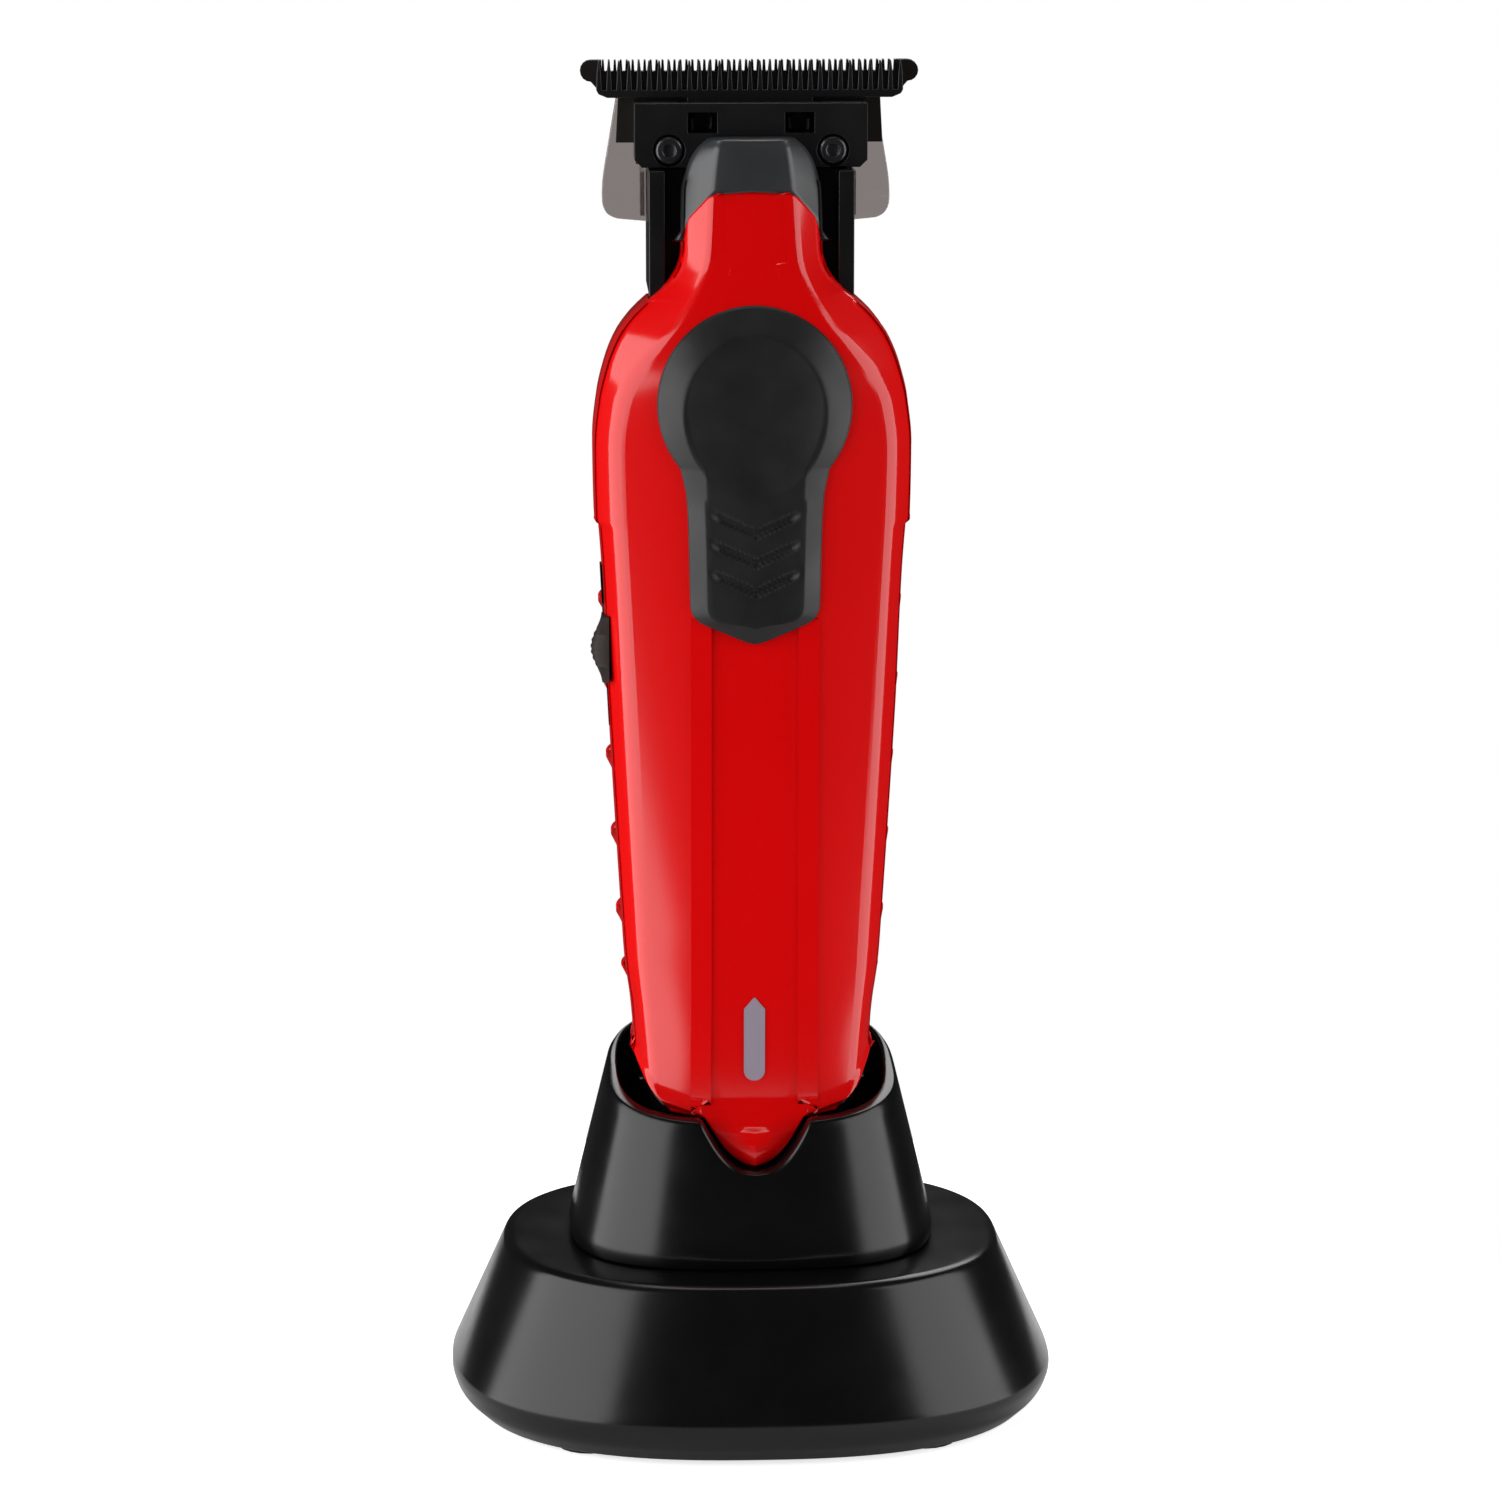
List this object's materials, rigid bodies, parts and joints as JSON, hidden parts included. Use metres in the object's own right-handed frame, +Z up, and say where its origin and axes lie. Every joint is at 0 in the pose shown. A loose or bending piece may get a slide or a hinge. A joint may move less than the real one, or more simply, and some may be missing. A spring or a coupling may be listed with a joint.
{
  "type": "hair clipper",
  "caption": "Cordless T-blade hair clipper with a thumb rest, side power slide and clip-on smoked blade guard, standing in its two-tier charging stand.",
  "frame": {"origin": "on the table under the middle of the charging stand", "axes": "+Z up along the clipper, -Y is the front with the thumb rest, +X to the right seen from the front"},
  "size_m": [0.0848, 0.07, 0.188],
  "materials": {
    "red_gloss": "glossy moulded red",
    "black_satin": "satin moulded black",
    "black_head": "dark satin black",
    "collar_grey": "satin dark grey",
    "pad_rubber": "soft-touch matt",
    "foot_rubber": "matt",
    "lens_grey": "frosted light guide",
    "smoke_clear": "smoked clear polycarbonate",
    "slider_black": "smoky brown black",
    "dark_blade": "black coated steel",
    "warm_blade": "dark plated steel",
    "spring_steel": "bright spring wire",
    "screw_steel": "blackened steel",
    "zinc_steel": "zinc plated",
    "copper_rotor": "enamelled copper winding",
    "magnet_grey": "sintered ferrite",
    "gold_contact": "gold plated",
    "nickel_tab": "nickel strip",
    "board_green": "solder mask",
    "cell_blue": "shrink sleeve",
    "chassis_grey": "moulded grey",
    "drive_white": "acetal white",
    "led_white": "clear resin"
  },
  "bodies": {
    "stand": {"base_shell": "black_satin", "cradle_tower": "black_satin", "bottom_plate": "black_head", "ballast_plate": "zinc_steel", "base_screw_1": "zinc_steel", "base_screw_2": "zinc_steel", "base_screw_3": "zinc_steel", "base_screw_4": "zinc_steel", "foot_1": "foot_rubber", "foot_2": "foot_rubber", "foot_3": "foot_rubber", "foot_4": "foot_rubber", "stand_pcb": "board_green", "pin_holder": "chassis_grey", "power_inlet": "zinc_steel"},
    "clipper": {"bottom_cap": "black_satin", "head_frame": "black_head", "blade_bracket": "black_head", "motor_can": "zinc_steel", "main_pcb": "board_green", "switch_body": "chassis_grey", "inner_chassis": "chassis_grey", "charge_contact_left": "gold_contact", "charge_contact_right": "gold_contact", "front_lid": "red_gloss", "rear_housing": "red_gloss", "cap_screw_left": "screw_steel", "cap_screw_right": "screw_steel", "blade_screw_left": "screw_steel", "blade_screw_right": "screw_steel", "nose_collar": "collar_grey", "thumb_rest": "pad_rubber", "led_window": "lens_grey", "slider_bezel": "slider_black", "battery_cell": "cell_blue", "battery_tab_low": "nickel_tab", "battery_tab_high": "nickel_tab", "led_chip": "led_white", "motor_magnet": "magnet_grey", "motor_end_cap": "drive_white", "fixed_blade": "warm_blade", "tension_spring": "spring_steel"},
    "rotor_group": {"rotor": "copper_rotor", "eccentric": "drive_white"},
    "cutter_group": {"moving_cutter": "dark_blade", "cam_follower": "drive_white"},
    "switch_group": {"power_slider": "slider_black"},
    "guard_group": {"blade_guard": "smoke_clear"},
    "left_pin": {"contact_pin_left": "gold_contact"},
    "right_pin": {"contact_pin_right": "gold_contact"}
  },
  "joints": [
    {"name": "clipper_lift", "type": "slide", "parent": "stand", "child": "clipper", "axis": [0, 0, 1], "range_m": [0, 0.06]},
    {"name": "motor_spin", "type": "hinge", "parent": "clipper", "child": "rotor_group", "pos_m": [0, 0.004, 0.135], "axis": [0, 0, 1], "continuous": true},
    {"name": "cutter_slide", "type": "slide", "parent": "clipper", "child": "cutter_group", "axis": [1, 0, 0], "range_m": [-0.001, 0.001]},
    {"name": "switch_slide", "type": "slide", "parent": "clipper", "child": "switch_group", "axis": [0, 0, 1], "range_m": [0, 0.0045]},
    {"name": "guard_pull", "type": "slide", "parent": "clipper", "child": "guard_group", "axis": [0, 1, 0], "range_m": [0, 0.04]},
    {"name": "left_pin_press", "type": "slide", "parent": "stand", "child": "left_pin", "axis": [0, 0, -1], "range_m": [0, 0.0008], "stiffness_N_per_m": 500, "springref_m": -0.0008},
    {"name": "right_pin_press", "type": "slide", "parent": "stand", "child": "right_pin", "axis": [0, 0, -1], "range_m": [0, 0.0008], "stiffness_N_per_m": 500, "springref_m": -0.0008}
  ]
}
